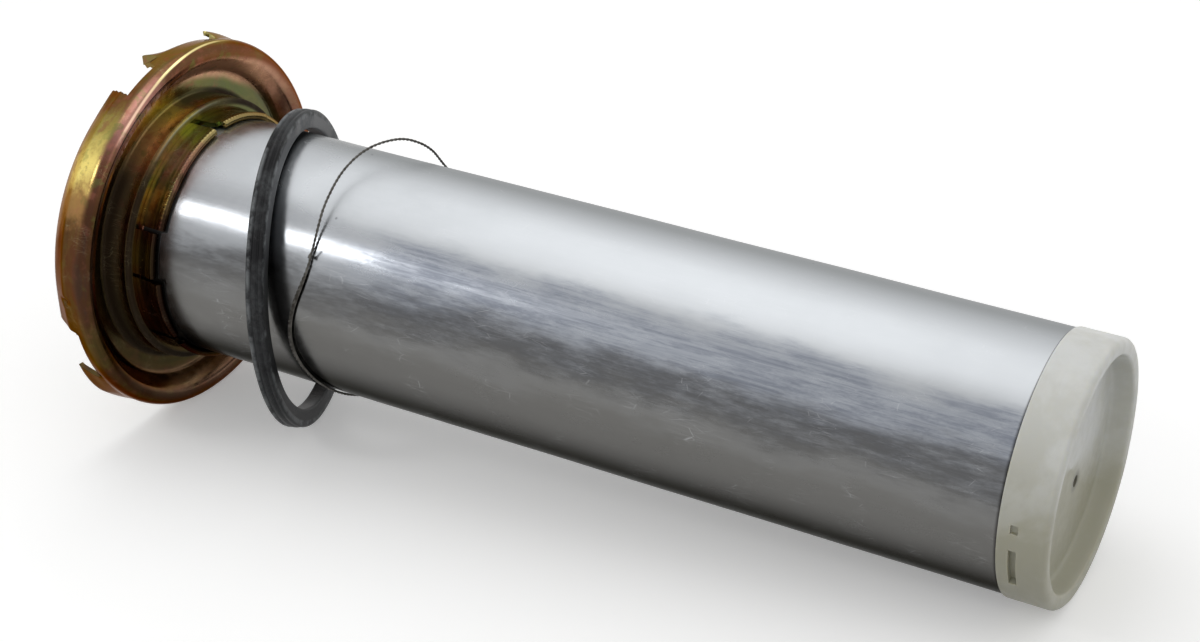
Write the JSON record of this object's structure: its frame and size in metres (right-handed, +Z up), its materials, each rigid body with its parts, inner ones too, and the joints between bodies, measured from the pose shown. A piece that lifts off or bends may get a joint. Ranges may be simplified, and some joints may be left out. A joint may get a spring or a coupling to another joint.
{
  "type": "fuel tank sending unit",
  "caption": "Tube type fuel level sender: notched round flange, polished tube, nylon end cap, inner float on a guide rod, loose seal ring and tie wire.",
  "frame": {"origin": "centre of the flange's seal seat, on the tube's axis", "axes": "+X along the tube from the flange to the end cap (down into the tank in use), +Z up as the unit lies on its side, -X out of the tank"},
  "size_m": [0.208, 0.0798, 0.0798],
  "materials": {
    "zinc_steel": "yellow zinc chromate, glossy, iridescent",
    "plain_steel": "plain zinc-plated steel",
    "tube_aluminium": "drawn and hand polished aluminium",
    "cap_nylon": "natural nylon, slightly translucent",
    "seal_rubber": "dark grey nitrile rubber",
    "wire_steel": "dull steel tie wire",
    "block_plastic": "black moulded insulator",
    "carrier_plastic": "natural moulded plastic",
    "brass_parts": "brass, tinned where soldered",
    "bronze_springs": "phosphor bronze strip",
    "resistance_wire": "bare resistance wire",
    "solder": "soft solder",
    "float_foam": "closed-cell nitrile foam",
    "contact_plastic": "brown phenolic moulding"
  },
  "bodies": {
    "sender_body": {"flange_cap": "zinc_steel", "crimp_collar": "zinc_steel", "head_cup": "zinc_steel", "terminal_block": "block_plastic", "block_gasket": "seal_rubber", "signal_blade": "brass_parts", "warning_blade": "brass_parts", "ground_blade": "brass_parts", "terminal_rivets": "plain_steel", "tube": "tube_aluminium", "upper_carrier": "carrier_plastic", "signal_tag": "brass_parts", "return_tag": "brass_parts", "warning_tag": "brass_parts", "solder_joints": "solder", "guide_rod": "plain_steel", "frame_rails": "plain_steel", "signal_wire": "resistance_wire", "return_wire": "resistance_wire", "warning_wire": "resistance_wire", "upper_bumper": "seal_rubber", "lower_bumper": "seal_rubber", "lower_carrier": "carrier_plastic", "tension_springs": "bronze_springs", "spring_screws": "plain_steel", "warning_contacts": "bronze_springs", "rod_clip": "plain_steel", "end_cap": "cap_nylon"},
    "float_slider": {"float": "float_foam", "contact_carrier": "contact_plastic", "contact_springs": "bronze_springs", "warning_bridge": "bronze_springs"},
    "loose_seal": {"seal_ring": "seal_rubber"},
    "loose_wire": {"tie_wire": "wire_steel"}
  },
  "joints": [
    {"name": "float_travel", "type": "slide", "parent": "sender_body", "child": "float_slider", "axis": [-1, 0, 0], "range_m": [0, 0.127]},
    {"name": "seal_slide", "type": "slide", "parent": "sender_body", "child": "loose_seal", "axis": [1, 0, 0], "range_m": [-0.004, 0.006]},
    {"name": "wire_slide", "type": "slide", "parent": "sender_body", "child": "loose_wire", "axis": [1, 0, 0], "range_m": [-0.001, 0.12]}
  ]
}
